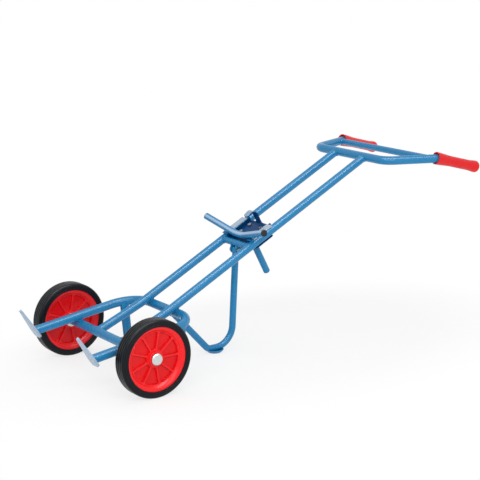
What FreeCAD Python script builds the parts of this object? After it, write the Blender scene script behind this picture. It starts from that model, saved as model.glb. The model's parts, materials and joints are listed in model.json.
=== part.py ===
import FreeCAD, Part

import math
import os

from FreeCAD import Placement, Rotation, Vector

# Sizes are in millimetres and degrees; x runs from the axle to the grips, y across, z up from the floor
# The left side is the pusher's left, at negative y

# Steel tube and cutting allowances
main_tube = 30.0
main_wall = 2.5
rail_tube = 28.0
rail_wall = 2.5
slim_tube = 23.0
slim_wall = 2.0
cut_overrun = 3.0
slide_gap = 0.4
hole_gap = 0.2
plug_depth = 14.0
plug_rim = 3.0

# Wheels
rim_diameter = 206.0
tyre_depth = 22.0
track = 541.0
tyre_width = 50.0
tyre_shoulder = 9.0
tyre_lip_draft = 0.5
tread_groove_count = 3
tread_groove_width = 3.0
tread_groove_depth = 3.0
tread_groove_pitch = 10.5
tyre_seat_depth = 5.0
tyre_seat_width = 34.0
tyre_seat_flank = 3.0
rim_lip_width = 43.0
rim_crown_height = 1.5
rim_face_width = 30.0
rim_ring_width = 17.0
rim_web = 14.0
hub_diameter = 50.0
hub_length = 34.0
hub_bush_wall = 6.0
rib_count = 9
rib_thickness = 5.0
pocket_draft = 5.0
pocket_hub_gap = 4.0
pocket_ring_gap = 2.0
pocket_corner = 5.0

# Axle
axle_diameter = 20.0
axle_running_gap = 0.05
inner_washer_diameter = 46.0
inner_washer_thickness = 3.0
outer_washer_diameter = 32.0
outer_washer_thickness = 2.0
hub_side_gap = 0.4
hub_cap_diameter = 38.0
hub_cap_height = 5.5
hub_cap_socket = 3.0
hub_cap_edge = 2.5

# Toe frame, the bent tube that carries the claws
toe_angle = 8.25
toe_reach = 163.0
toe_wheel_gap = 40.5
toe_bend = 97.0
claw_lean = 32.7
claw_thickness = 8.0
claw_width = 42.0
claw_drop = 23.0
claw_shoulder = 8.0
claw_rise = 94.0
claw_corner = 9.0
claw_tip_radius = 4.0
strut_turn = 27.3
strut_lean = 9.8
strut_floor_gap = 30.0

# Rails
rail_spacing = 154.0
rail_toe_angle = 22.7
rail_toe_run = 186.0
rail_angle = 27.3
rail_run = 932.0
rail_bend = 150.0
cross_run = 373.0

# Push handle
handle_width = 372.0
handle_corner_bend = 50.0
handle_splay = 21.6
handle_leg_run = 193.0
handle_grip_bend = 60.0
grip_splay = 6.3
grip_droop = 14.6
grip_length = 189.0
grip_mouth_set = 8.0
grip_bar_gap = 1.0
grip_end_wall = 8.0
grip_diameter = 37.0
grip_mouth_diameter = 44.0
grip_mouth_lip = 3.0
grip_cup_diameter = 39.0
grip_cup_depth = 36.0
grip_neck_length = 70.0
grip_end_diameter = 42.0
grip_end_length = 30.0
grip_end_round = 13.0

# Standing leg
foot_setback = 410.0
leg_heel_reach = 71.0
leg_toe_reach = 27.0
leg_heel_bend = 70.0
leg_toe_bend = 30.0
leg_end_margin = 12.0
leg_top_drop = 24.0
leg_top_set = 3.0
leg_lug_reach = 40.0
leg_lug_angle = 37.0
lug_thickness = 4.0
lug_radius = 12.0
leg_bolt = 10.0
leg_bolt_flats = 17.0
leg_bolt_head = 6.4
leg_nut_height = 8.0
bolt_end_length = 3.0
foot_diameter = 62.0
foot_base_diameter = 46.0
foot_height = 11.0
foot_wall = 3.0

# Slide carriage, measured along the rails from the cross tube
pan_length = 106.0
pan_thickness = 4.0
pan_floor_drop = 5.0
pan_side_gap = 1.0
strip_width = 28.0
strip_thickness = 4.0
strip_length = 94.0
hook_start = 40.0
hook_stand = 113.0
hook_height = 66.0
hook_tip = 75.0
hook_droop = 12.0
hook_thickness = 5.0
hook_base_width = 104.0
hook_neck_width = 25.0
hook_neck_height = 18.0
hook_flare = 9.0
hook_root_bend = 10.0
hook_curl = 17.0
hook_tip_corner = 7.0
saddle_place = 24.0
saddle_bite = 0.5
saddle_rise = 15.8
saddle_half_length = 168.0
saddle_bend = 150.0
under_plate_start = 16.0
under_plate_length = 84.0
under_plate_width = 170.0
under_plate_thickness = 4.0
under_plate_corner = 12.0
carriage_bolt = 8.0
carriage_bolt_flats = 13.0
carriage_bolt_head = 5.3
carriage_nut_height = 6.5
carriage_bolt_rows = (52.0, 92.0)
carriage_bolt_spacing = 64.0
spacer_diameter = 16.0
pull_handle_place = 60.0
pull_handle_length = 149.0

# Places worked out from the sizes above
sides = {"left": -1, "right": 1}
wheel_diameter = rim_diameter + 2 * tyre_depth
axle_height = wheel_diameter / 2
toe_width = track - tyre_width - main_tube - 2 * toe_wheel_gap
axle_point = Vector(0, 0, axle_height)


def direction(angle):
    """Unit vector in the xz plane, turned up from x."""
    return Vector(math.cos(math.radians(angle)), 0, math.sin(math.radians(angle)))


def across(y):
    return Vector(0, y, 0)


def mirrored(point, side):
    return Vector(point.x, side * point.y, point.z)


rail_up = direction(rail_angle)
rail_normal = direction(rail_angle + 90)
rail_knee = axle_point + direction(rail_toe_angle) * rail_toe_run
rail_end = rail_knee + rail_up * rail_run
cross_point = rail_knee + rail_up * cross_run

toe_along = direction(toe_angle)
toe_over_axle = axle_point + direction(toe_angle + 90) * main_tube
rail_stack = (main_tube + rail_tube) / 2
toe_height_under_rail = (toe_over_axle - rail_knee).dot(rail_normal) + rail_stack
toe_cross = toe_over_axle - toe_along * (toe_height_under_rail / toe_along.dot(rail_normal))
toe_end = toe_over_axle - toe_along * toe_reach

handle_bar_back = grip_mouth_set + slim_tube / 2 + grip_bar_gap

hub_face = track / 2 - hub_length / 2
axle_tube_half = hub_face - hub_side_gap - inner_washer_thickness
outer_washer_start = track / 2 + hub_length / 2 + hub_side_gap
hub_cap_start = outer_washer_start + outer_washer_thickness


# Shared shapes
def plate_along_y(edges, start, length):
    """Plate with an outline in an xz plane, made thick along y."""
    face = Part.Face(Part.Wire(edges))
    face.translate(across(start))
    return face.extrude(across(length))


def cylinder(diameter, start, end):
    """Round bar from one point to another."""
    run = end - start
    return Part.makeCylinder(diameter / 2, run.Length, start, run)


def ring(outer, bore, start, end):
    """Round bar with a bore through it."""
    run = (end - start).normalize() * cut_overrun
    return cylinder(outer, start, end).cut(cylinder(bore, start - run, end + run))


def lines(points):
    """Straight edges from point to point."""
    return [Part.LineSegment(a, b).toShape() for a, b in zip(points, points[1:])]


def bent_path(points, radii):
    """Straight runs joined by tangent arcs, one radius for each inner point."""
    edges = []
    start = points[0]
    for before, corner, after, radius in zip(points, points[1:], points[2:], radii):
        back = (before - corner).normalize()
        ahead = (after - corner).normalize()
        half = back.getAngle(ahead) / 2
        inward = (back + ahead).normalize()
        arc_start = corner + back * (radius / math.tan(half))
        arc_end = corner + ahead * (radius / math.tan(half))
        arc_middle = corner + inward * (radius / math.sin(half) - radius)
        edges.append(Part.LineSegment(start, arc_start).toShape())
        edges.append(Part.Arc(arc_start, arc_middle, arc_end).toShape())
        start = arc_end
    edges.append(Part.LineSegment(start, points[-1]).toShape())
    return Part.Wire(edges)


def bent_bar(points, radii, diameter):
    """Round bar bent along a path."""
    section = Part.Wire(Part.makeCircle(diameter / 2, points[0], points[1] - points[0]))
    return bent_path(points, radii).makePipeShell([section], True, False)


def bent_tube(points, radii, diameter, wall):
    """Tube bent along a path, open at both ends."""
    bore = bent_bar(points, radii, diameter - 2 * wall)
    return bent_bar(points, radii, diameter).cut(bore)


def spun_section(edges, start, heading):
    """Closed section, x its radius and z its length, spun about a line from start."""
    spun = Part.Face(Part.Wire(edges)).revolve(Vector(), Vector(0, 0, 1), 360)
    spun.Placement = Placement(start, Rotation(Vector(0, 0, 1), heading))
    return spun


def turned(profile, start, heading):
    """Outline of (distance along, radius) points spun about a line from start."""
    points = [Vector(radius, 0, along) for along, radius in profile]
    return spun_section(lines([*points, points[0]]), start, heading)


def end_plug(tube, wall, mouth, heading):
    """Moulded plug with a domed rim, pushed into a tube's end."""
    bore = tube / 2 - wall
    rim = tube / 2
    profile = [(-plug_depth, 0), (-plug_depth, bore), (0, bore), (0, rim),
               (plug_rim / 2, rim), (plug_rim, bore), (plug_rim, 0)]
    return turned(profile, mouth, heading)


def hexagon_bar(flats, start, end):
    """Six-sided bar from one point to another."""
    run = end - start
    corner = flats / math.sqrt(3)
    turns = [math.radians(60 * k) for k in range(7)]
    points = [Vector(corner * math.cos(t), corner * math.sin(t), 0) for t in turns]
    bar = Part.Face(Part.Wire(lines(points))).extrude(Vector(0, 0, run.Length))
    bar.Placement = Placement(start, Rotation(Vector(0, 0, 1), run))
    return bar


# Wheels
def tyre_outline():
    """Half section of the solid rubber tyre, x outward from the axle and y across the tread."""
    seat = rim_diameter / 2 - tyre_seat_depth
    lip = rim_diameter / 2
    crown = wheel_diameter / 2
    side = tyre_width / 2
    flat = side - tyre_shoulder
    half_seat = tyre_seat_width / 2
    knuckle = tyre_shoulder * math.sqrt(0.5)
    edges = []
    for sign in (1, -1):
        foot = [Vector(seat, 0, 0), Vector(seat, sign * half_seat, 0),
                Vector(lip, sign * (half_seat + tyre_seat_flank), 0),
                Vector(lip, sign * (side - tyre_lip_draft), 0),
                Vector(crown - tyre_shoulder, sign * side, 0)]
        middle = Vector(crown - tyre_shoulder + knuckle, sign * (flat + knuckle), 0)
        edges += lines(foot)
        edges.append(Part.Arc(foot[-1], middle, Vector(crown, sign * flat, 0)).toShape())
    tread = [Vector(crown, -flat, 0)]
    for k in range(tread_groove_count):
        place = (k - (tread_groove_count - 1) / 2) * tread_groove_pitch
        for edge in (-tread_groove_width / 2, tread_groove_width / 2):
            depths = (0, tread_groove_depth) if edge < 0 else (tread_groove_depth, 0)
            tread += [Vector(crown - depth, place + edge, 0) for depth in depths]
    tread.append(Vector(crown, flat, 0))
    return edges + lines(tread)


def rim_outline():
    """Half section of the moulded rim before its pockets: hub, thick disc, sloping ring and tyre seat."""
    bore = axle_diameter / 2 + axle_running_gap + hub_bush_wall
    lip = rim_diameter / 2
    seat = lip - tyre_seat_depth
    inner = lip - rim_ring_width
    edges = []
    for sign in (1, -1):
        face = sign * rim_face_width / 2
        hub = [Vector(bore, 0, 0), Vector(bore, sign * hub_length / 2, 0),
               Vector(hub_diameter / 2, sign * hub_length / 2, 0),
               Vector(hub_diameter / 2, face, 0), Vector(inner, face, 0)]
        edge = Vector(lip, sign * rim_lip_width / 2, 0)
        crest = (hub[-1] + edge) / 2 + across(sign * rim_crown_height)
        half_seat = sign * tyre_seat_width / 2
        channel = [edge, Vector(lip, half_seat + sign * tyre_seat_flank, 0),
                   Vector(seat, half_seat, 0), Vector(seat, 0, 0)]
        edges += lines(hub)
        edges.append(Part.Arc(hub[-1], crest, edge).toShape())
        edges += lines(channel)
    return edges


def spun_about_axle(edges):
    """Closed half section spun about the wheel's own axle line."""
    wire = Part.Wire(Part.__sortEdges__(edges))
    return Part.Face(wire).revolve(Vector(), Vector(0, 1, 0), 360)


def pocket_section(height):
    """Outline of a pocket between two ribs, at a height over the web; the walls lean outwards."""
    lean = math.tan(math.radians(pocket_draft))
    depth = (rim_face_width - rim_web) / 2
    inset = (depth - height) * lean
    near = hub_diameter / 2 + pocket_hub_gap + inset
    far = rim_diameter / 2 - rim_ring_width - pocket_ring_gap - inset
    half_rib = rib_thickness / 2 + inset
    pitch = 2 * math.pi / rib_count
    level = rim_web / 2 + height

    def at(radius, turn):
        return Vector(radius * math.cos(turn), level, radius * math.sin(turn))

    near_turn = math.asin(half_rib / near)
    far_turn = math.asin(half_rib / far)
    a, b = at(near, near_turn), at(far, far_turn)
    c, d = at(far, pitch - far_turn), at(near, pitch - near_turn)
    outer = Part.Arc(b, at(far, pitch / 2), c).toShape()
    inner = Part.Arc(d, at(near, pitch / 2), a).toShape()
    return Part.Wire([*lines([a, b]), outer, *lines([c, d]), inner])


def rim_pocket():
    """Drafted pocket with rounded upright corners, open at the rim's face."""
    depth = (rim_face_width - rim_web) / 2
    sections = [pocket_section(0), pocket_section(depth + cut_overrun)]
    pocket = Part.makeLoft(sections, True, True)
    upright = [e for e in pocket.Edges if e.BoundBox.YLength > depth]
    return pocket.makeFillet(pocket_corner, upright)


def rim():
    """Moulded rim: nine ribs a side, left standing between drafted pockets."""
    body = spun_about_axle(rim_outline())
    one_side = rim_pocket()
    other_side = one_side.mirror(Vector(), Vector(0, 1, 0))
    cuts = []
    for k in range(rib_count):
        for pocket in (one_side, other_side):
            cuts.append(pocket.rotated(Vector(), Vector(0, 1, 0), k * 360 / rib_count))
    return body.cut(cuts)


def hub_bush():
    bore = axle_diameter + 2 * axle_running_gap
    return ring(bore + 2 * hub_bush_wall, bore, across(-hub_length / 2), across(hub_length / 2))


def wheel_parts():
    shapes = {"tyre": spun_about_axle(tyre_outline()), "rim": rim(), "hub_bush": hub_bush()}
    placed = {}
    for name, side in sides.items():
        centre = axle_point + across(side * track / 2)
        for piece, shape in shapes.items():
            placed[f"{piece}_{name}"] = shape.translated(centre)
    return placed


# Axle
def hub_cap_profile():
    """Pressed steel cap, (height, radius) from its open face."""
    bore = axle_diameter / 2
    rim_radius = hub_cap_diameter / 2
    return [(0, bore), (0, rim_radius), (hub_cap_height - hub_cap_edge, rim_radius),
            (hub_cap_height, rim_radius - hub_cap_edge), (hub_cap_height, 0),
            (hub_cap_socket, 0), (hub_cap_socket, bore)]


def axle_parts():
    axle_half = hub_cap_start + hub_cap_socket
    ends = [axle_point + across(side * axle_half) for side in (-1, 1)]
    tube_ends = [axle_point + across(side * axle_tube_half) for side in (-1, 1)]
    washers = []
    shapes = {"axle": cylinder(axle_diameter, *ends), "axle_tube": ring(main_tube, axle_diameter, *tube_ends)}
    kinds = [(inner_washer_diameter, axle_tube_half, inner_washer_thickness),
             (outer_washer_diameter, outer_washer_start, outer_washer_thickness)]
    for name, side in sides.items():
        for diameter, start, thickness in kinds:
            seat = axle_point + across(side * start)
            washers.append(ring(diameter, axle_diameter, seat, seat + across(side * thickness)))
        cap_seat = axle_point + across(side * hub_cap_start)
        shapes[f"hub_cap_{name}"] = turned(hub_cap_profile(), cap_seat, across(side))
    shapes["axle_washers"] = Part.makeCompound(washers)
    return shapes


# Toe frame
def toe_points(reach):
    """Route of the bent tube, from the left claw round to the right one."""
    half = toe_width / 2
    front = toe_over_axle - toe_along * reach
    return [front + across(-half), toe_cross + across(-half), toe_cross + across(half), front + across(half)]


def claw_outline():
    """Claw seen square on, with a rounded foot and a narrow rounded tip."""
    half = claw_width / 2
    tip = claw_tip_radius
    knuckle = claw_corner * (1 - math.sqrt(0.5))
    foot = -claw_drop
    edges = lines([Vector(0, -half + claw_corner, foot), Vector(0, half - claw_corner, foot)])
    for side in (1, -1):
        low = Vector(0, side * (half - claw_corner), foot)
        middle = Vector(0, side * (half - knuckle), foot + knuckle)
        edges.append(Part.Arc(low, middle, Vector(0, side * half, foot + claw_corner)).toShape())
        edges += lines([Vector(0, side * half, foot + claw_corner), Vector(0, side * half, claw_shoulder),
                        Vector(0, side * tip, claw_rise - tip)])
    top = [Vector(0, tip, claw_rise - tip), Vector(0, 0, claw_rise), Vector(0, -tip, claw_rise - tip)]
    edges.append(Part.Arc(*top).toShape())
    return edges


def claw_place(side):
    """Claw's own frame: z up the blade, x back towards the wheels, at the prong's end."""
    return Placement(toe_end + across(side * toe_width / 2), Rotation(Vector(0, 1, 0), -claw_lean))


def claw(side):
    blade = Part.Face(Part.Wire(Part.__sortEdges__(claw_outline()))).extrude(Vector(-claw_thickness, 0, 0))
    blade.Placement = claw_place(side)
    return blade


def toe_frame():
    """U of tube, its two front ends cut off flush with the backs of the claws."""
    tube = bent_tube(toe_points(toe_reach + main_tube), [toe_bend, toe_bend], main_tube, main_wall)
    for side in sides.values():
        waste = Part.makeBox(2 * main_tube, claw_width, 4 * main_tube)
        waste.translate(Vector(-2 * main_tube, -claw_width / 2, -2 * main_tube))
        waste.Placement = claw_place(side).multiply(waste.Placement)
        tube = tube.cut(waste)
    return tube


def strut_ends(side):
    """Axis of a strut, from the toe frame's bend down and a little inward, to just above the floor."""
    bend_centre = toe_cross - toe_along * toe_bend
    turn = math.radians(strut_turn)
    offset = toe_width / 2 - toe_bend + toe_bend * math.cos(turn)
    top = bend_centre + toe_along * (toe_bend * math.sin(turn)) + across(side * offset)
    drop = top.z - strut_floor_gap - plug_rim
    inward = across(-side * math.tan(math.radians(strut_lean)))
    return top, top + (inward - Vector(0, 0, 1)) * drop


def strut_parts(toe_bar):
    shapes = {}
    for name, side in sides.items():
        top, bottom = strut_ends(side)
        tube = bent_tube([top, bottom], [], main_tube, main_wall)
        shapes[f"strut_{name}"] = tube.cut(toe_bar)
        shapes[f"strut_plug_{name}"] = end_plug(main_tube, main_wall, bottom, bottom - top)
    return shapes


def toe_parts():
    toe_bar = bent_bar(toe_points(toe_reach), [toe_bend, toe_bend], main_tube)
    shapes = {"toe_frame": toe_frame()}
    for name, side in sides.items():
        shapes[f"toe_claw_{name}"] = claw(side)
    shapes.update(strut_parts(toe_bar))
    return shapes


# Rails and their cross tube
def rail(side):
    """Rail bent a little above the toe frame, coped onto the axle tube and the handle's base."""
    offset = across(side * rail_spacing / 2)
    points = [axle_point + offset, rail_knee + offset, rail_end + offset]
    tube = bent_tube(points, [rail_bend], rail_tube, rail_wall)
    for centre in (axle_point, rail_end):
        seat = centre + offset
        tube = tube.cut(cylinder(main_tube, seat - across(rail_tube), seat + across(rail_tube)))
    return tube


def rail_bar(side):
    offset = across(side * rail_spacing / 2)
    return cylinder(rail_tube, rail_knee + offset, rail_end + offset)


def rail_parts():
    half = across(rail_spacing / 2)
    cross = ring(slim_tube, slim_tube - 2 * slim_wall, cross_point - half, cross_point + half)
    shapes = {"rail_cross_tube": cross.cut([rail_bar(side) for side in sides.values()])}
    for name, side in sides.items():
        shapes[f"rail_{name}"] = rail(side)
    return shapes


# Push handle
def handle_corner(side):
    return rail_end + across(side * handle_width / 2)


def handle_leg_end(side):
    splay = math.radians(handle_splay)
    return handle_corner(side) + Vector(math.cos(splay), side * math.sin(splay), 0) * handle_leg_run


def grip_heading(side):
    splay = math.radians(grip_splay)
    droop = math.radians(grip_droop)
    level = math.cos(droop)
    return Vector(math.cos(splay) * level, side * math.sin(splay) * level, -math.sin(droop))


def grip_mouth(side):
    return handle_leg_end(side) - grip_heading(side) * grip_mouth_set


def handle_points():
    """Route of the handle tube from the left grip to the right one."""
    tube_end = grip_mouth(-1) + grip_heading(-1) * (grip_length - grip_end_wall)
    left = [tube_end, handle_leg_end(-1), handle_corner(-1)]
    return left + [mirrored(point, -1) for point in reversed(left)]


def handle_radii():
    return [handle_grip_bend, handle_corner_bend, handle_corner_bend, handle_grip_bend]


def grip_section():
    """Half section of the grip sleeve: flared mouth with a coned cup, waisted body, domed end."""
    cup = [Vector(0, 0, grip_cup_depth), Vector(grip_cup_diameter / 2, 0, 0),
           Vector(grip_mouth_diameter / 2, 0, 0), Vector(grip_mouth_diameter / 2, 0, grip_mouth_lip)]
    waist_start = Vector(grip_diameter / 2, 0, grip_neck_length)
    waist_end = Vector(grip_diameter / 2, 0, grip_length - grip_end_length - grip_end_round)
    bulge = Vector(grip_end_diameter / 2, 0, grip_length - grip_end_round)
    ahead = Vector(0, 0, 1)
    flare, swell = Part.BSplineCurve(), Part.BSplineCurve()
    flare.interpolate([cup[-1], waist_start], InitialTangent=ahead, FinalTangent=ahead)
    swell.interpolate([waist_end, bulge], InitialTangent=ahead, FinalTangent=ahead)
    body = [flare.toShape(), *lines([waist_start, waist_end]), swell.toShape()]
    knuckle = grip_end_round * (1 - math.sqrt(0.5))
    shoulder = Vector(grip_end_diameter / 2 - knuckle, 0, grip_length - knuckle)
    crown = Vector(grip_end_diameter / 2 - grip_end_round, 0, grip_length)
    dome = Part.Arc(bulge, shoulder, crown).toShape()
    return [*lines(cup), *body, dome, *lines([crown, Vector(0, 0, grip_length), cup[0]])]


def grip(side, handle_bar):
    return spun_section(grip_section(), grip_mouth(side), grip_heading(side)).cut(handle_bar)


def handle_parts():
    handle_bar = bent_bar(handle_points(), handle_radii(), main_tube)
    shapes = {"handle_loop": bent_tube(handle_points(), handle_radii(), main_tube, main_wall)}
    for name, side in sides.items():
        shapes[f"grip_{name}"] = grip(side, handle_bar)
    back = handle_bar_back / math.cos(math.radians(handle_splay))
    right = handle_leg_end(1) + (handle_corner(1) - handle_leg_end(1)).normalize() * back
    bar = ring(slim_tube, slim_tube - 2 * slim_wall, mirrored(right, -1), right)
    shapes["handle_cross_bar"] = bar.cut(handle_bar)
    return shapes


# Standing leg
leg_top = cross_point - Vector(leg_top_set, 0, leg_top_drop)
leg_low = toe_cross + direction(-leg_lug_angle) * leg_lug_reach
leg_floor = foot_wall + slim_tube / 2
leg_heel = Vector(foot_setback + leg_heel_reach, 0, leg_floor)
leg_toe = Vector(foot_setback - leg_toe_reach, 0, leg_floor)


def leg_points():
    """Route of the leg tube, running a little past each of its two bolts."""
    top = leg_top + (leg_top - leg_heel).normalize() * leg_end_margin
    low = leg_low + (leg_low - leg_toe).normalize() * leg_end_margin
    return [top, leg_heel, leg_toe, low]


def leg_tube():
    tube = bent_tube(leg_points(), [leg_heel_bend, leg_toe_bend], slim_tube, slim_wall)
    half = across(slim_tube)
    for bolt in (leg_top, leg_low):
        tube = tube.cut(cylinder(leg_bolt + 2 * hole_gap, bolt - half, bolt + half))
    return tube


def lug(carrier, bolt, low):
    """Flat lug lying in an xz plane, square at the tube that carries it and round about its bolt."""
    run = (bolt - carrier).normalize()
    left = Vector(-run.z, 0, run.x) * lug_radius
    edges = lines([bolt + left, carrier + left, carrier - left, bolt - left])
    edges.append(Part.Arc(bolt - left, bolt + run * lug_radius, bolt + left).toShape())
    return plate_along_y(edges, low, lug_thickness)


def lug_pair(carrier, carrier_tube, bolt):
    """Two lugs welded to a tube, one each side of the leg's end."""
    lugs = []
    half = across(rail_spacing / 2)
    tube = cylinder(carrier_tube, carrier - half, carrier + half)
    hole = cylinder(leg_bolt + 2 * hole_gap, bolt - half, bolt + half)
    gap = slim_tube / 2 + hole_gap
    for low in (-gap - lug_thickness, gap):
        lugs.append(lug(carrier, bolt, low).cut([tube, hole]))
    return Part.makeCompound(lugs)


def leg_fasteners():
    bolts, nuts = [], []
    grip_half = slim_tube / 2 + hole_gap + lug_thickness
    for centre in (leg_top, leg_low):
        head_seat = centre - across(grip_half)
        nut_seat = centre + across(grip_half)
        nut_end = nut_seat + across(leg_nut_height)
        shank = cylinder(leg_bolt, head_seat, nut_end + across(bolt_end_length))
        bolts.append(shank.fuse(hexagon_bar(leg_bolt_flats, head_seat, head_seat - across(leg_bolt_head))))
        nuts.append(hexagon_bar(leg_bolt_flats, nut_seat, nut_end).cut(shank))
    return bolts, nuts


def foot_dish(leg_bar):
    """Pressed dish under the leg, its wall notched where the tube passes."""
    base = foot_base_diameter / 2
    outer = foot_diameter / 2
    profile = [(0, 0), (0, base), (foot_height - foot_wall, outer), (foot_height, outer),
               (foot_height, outer - foot_wall), (foot_wall, base - foot_wall), (foot_wall, 0)]
    return turned(profile, Vector(foot_setback, 0, 0), Vector(0, 0, 1)).cut(leg_bar)


def leg_parts():
    leg_bar = bent_bar(leg_points(), [leg_heel_bend, leg_toe_bend], slim_tube)
    bolts, nuts = leg_fasteners()
    return {
        "leg_tube": leg_tube(),
        "leg_lugs_low": lug_pair(toe_cross, main_tube, leg_low),
        "leg_lugs_top": lug_pair(cross_point, slim_tube, leg_top),
        "leg_bolts": Part.makeCompound(bolts),
        "leg_nuts": Part.makeCompound(nuts),
        "foot_dish": foot_dish(leg_bar),
    }


# Slide carriage, modelled flat with x along the rails and z square to them, then set on the rails
pan_start = slim_tube / 2 + slide_gap
pan_end = pan_start + pan_length
pan_half = rail_spacing / 2 - rail_tube / 2 - pan_side_gap
pan_floor = pan_thickness - pan_floor_drop
rail_top = rail_tube / 2 + slide_gap
hook_floor = pan_floor + hook_thickness / 2
strip_inner = pan_half - pan_thickness
saddle_slope = math.tan(math.radians(saddle_rise))
saddle_seat = rail_top + strip_thickness - saddle_bite
saddle_apex = saddle_seat + slim_tube / 2 / math.cos(math.radians(saddle_rise)) - strip_inner * saddle_slope


def carriage_place():
    return Placement(cross_point, Rotation(Vector(0, 1, 0), -rail_angle))


def block(start, end):
    """Box between two corners."""
    size = end - start
    return Part.makeBox(size.x, size.y, size.z, start)


def saddle_points():
    """Shallow V of tube across the rails."""
    tip = saddle_apex + saddle_half_length * saddle_slope
    return [Vector(saddle_place, -saddle_half_length, tip), Vector(saddle_place, 0, saddle_apex),
            Vector(saddle_place, saddle_half_length, tip)]


def bolt_places():
    half = carriage_bolt_spacing / 2
    return [Vector(row, y, 0) for row in carriage_bolt_rows for y in (-half, half)]


def bolt_holes():
    hole = carriage_bolt + 2 * hole_gap
    reach = Vector(0, 0, hook_height)
    return [cylinder(hole, place - reach, place + reach) for place in bolt_places()]


def slide_pan():
    """Folded channel that drops between the rails, its sides as high as the strips' seats."""
    floor = block(Vector(pan_start, -pan_half, -pan_floor_drop), Vector(pan_end, pan_half, pan_floor))
    walls = []
    for side in sides.values():
        inner, outer = sorted((side * pan_half, side * (pan_half - pan_thickness)))
        walls.append(block(Vector(pan_start, inner, -pan_floor_drop), Vector(pan_end, outer, rail_top)))
    return floor.fuse(walls).cut(bolt_holes()).removeSplitter()


def glide_strip(side):
    """Flat strip that rides on a rail, welded on the pan's wall and dished a little under the saddle."""
    inner, outer = sorted((side * strip_inner, side * (strip_inner + strip_width)))
    start = Vector(pan_start, inner, rail_top)
    strip = block(start, Vector(pan_start + strip_length, outer, rail_top + strip_thickness))
    return strip.cut(bent_bar(saddle_points(), [saddle_bend], slim_tube))


def hook_outline():
    """Hook seen along the rails: a narrow tongue that rises from a wide low root in two hollow corners."""
    root = hook_base_width / 2
    neck = hook_neck_width / 2
    low = pan_floor - cut_overrun
    high = hook_height + hook_thickness
    waist = hook_neck_height + pan_floor
    flare_low = waist - hook_flare
    hollow = hook_flare * (1 - math.sqrt(0.5))
    edges = lines([Vector(0, -root, low), Vector(0, root, low)])
    for side in (1, -1):
        foot = Vector(0, side * (neck + hook_flare), flare_low)
        middle = Vector(0, side * (neck + hollow), flare_low + hollow)
        edges += lines([Vector(0, side * root, low), Vector(0, side * root, flare_low), foot])
        edges.append(Part.Arc(foot, middle, Vector(0, side * neck, waist)).toShape())
        edges += lines([Vector(0, side * neck, waist), Vector(0, side * neck, high)])
    edges += lines([Vector(0, neck, high), Vector(0, -neck, high)])
    return edges


def chime_hook():
    """Plate folded up off the pan, its tongue rolled over to a drooping tip, bolted through its foot."""
    tip_height = hook_height - (hook_stand - hook_tip) * math.tan(math.radians(hook_droop))
    route = [Vector(hook_start, 0, hook_floor), Vector(hook_stand, 0, hook_floor),
             Vector(hook_stand, 0, hook_height), Vector(hook_tip, 0, tip_height)]
    half = hook_base_width / 2
    low, high = hook_floor - hook_thickness / 2, hook_floor + hook_thickness / 2
    corners = [Vector(hook_start, y, z) for y, z in ((-half, low), (half, low), (half, high), (-half, high))]
    section = Part.Wire(lines([*corners, corners[0]]))
    rolled = bent_path(route, [hook_root_bend, hook_curl]).makePipeShell([section], True, False)
    outline = Part.Face(Part.Wire(Part.__sortEdges__(hook_outline())))
    trim = outline.extrude(Vector(hook_stand + hook_thickness, 0, 0))
    hook = rolled.common(trim).cut(bolt_holes())
    tip_edges = [e for e in hook.Edges if e.CenterOfMass.z > hook_neck_height
                 and e.BoundBox.YLength < hole_gap and e.BoundBox.XMax < hook_tip + hook_thickness]
    return hook.makeFillet(hook_tip_corner, tip_edges)


def under_plate():
    """Plate below the rails that keeps the carriage on them."""
    low = -rail_top - under_plate_thickness
    half = under_plate_width / 2
    plate = block(Vector(under_plate_start, -half, low),
                  Vector(under_plate_start + under_plate_length, half, -rail_top))
    upright = [e for e in plate.Edges if e.BoundBox.ZLength > under_plate_thickness / 2]
    return plate.makeFillet(under_plate_corner, upright).cut(bolt_holes())


def carriage_fasteners():
    bolts, nuts, spacers = [], [], []
    head_seat = Vector(0, 0, pan_floor + hook_thickness)
    nut_seat = Vector(0, 0, -rail_top - under_plate_thickness)
    nut_end = nut_seat - Vector(0, 0, carriage_nut_height)
    for place in bolt_places():
        shank = cylinder(carriage_bolt, place + head_seat, place + nut_end - Vector(0, 0, bolt_end_length))
        head_top = place + head_seat + Vector(0, 0, carriage_bolt_head)
        bolts.append(shank.fuse(hexagon_bar(carriage_bolt_flats, place + head_seat, head_top)))
        nuts.append(hexagon_bar(carriage_bolt_flats, place + nut_seat, place + nut_end).cut(shank))
        top, bottom = place - Vector(0, 0, pan_floor_drop), place - Vector(0, 0, rail_top)
        spacers.append(ring(spacer_diameter, carriage_bolt + 2 * hole_gap, top, bottom))
    return bolts, nuts, spacers


def pull_handle():
    """Round bar with a domed tip, standing square under the carriage."""
    radius = slim_tube / 2
    seat = Vector(pull_handle_place, 0, -rail_top - under_plate_thickness)
    bar = Part.makeCylinder(radius, pull_handle_length, seat, Vector(0, 0, -1))
    tip = [e for e in bar.Edges if e.BoundBox.ZMax < seat.z - pull_handle_length / 2]
    return bar.makeFillet(radius / 2, tip)


def carriage_parts():
    bolts, nuts, spacers = carriage_fasteners()
    points = saddle_points()
    shapes = {
        "slide_pan": slide_pan(),
        "chime_hook": chime_hook(),
        "saddle_tube": bent_tube(points, [saddle_bend], slim_tube, slim_wall),
        "under_plate": under_plate(),
        "carriage_bolts": Part.makeCompound(bolts),
        "carriage_nuts": Part.makeCompound(nuts),
        "carriage_spacers": Part.makeCompound(spacers),
        "pull_handle": pull_handle(),
    }
    for (name, side), mouth in zip(sides.items(), (points[0], points[-1])):
        shapes[f"glide_strip_{name}"] = glide_strip(side)
        shapes[f"saddle_plug_{name}"] = end_plug(slim_tube, slim_wall, mouth, mouth - points[1])
    for shape in shapes.values():
        shape.Placement = carriage_place().multiply(shape.Placement)
    return shapes


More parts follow.
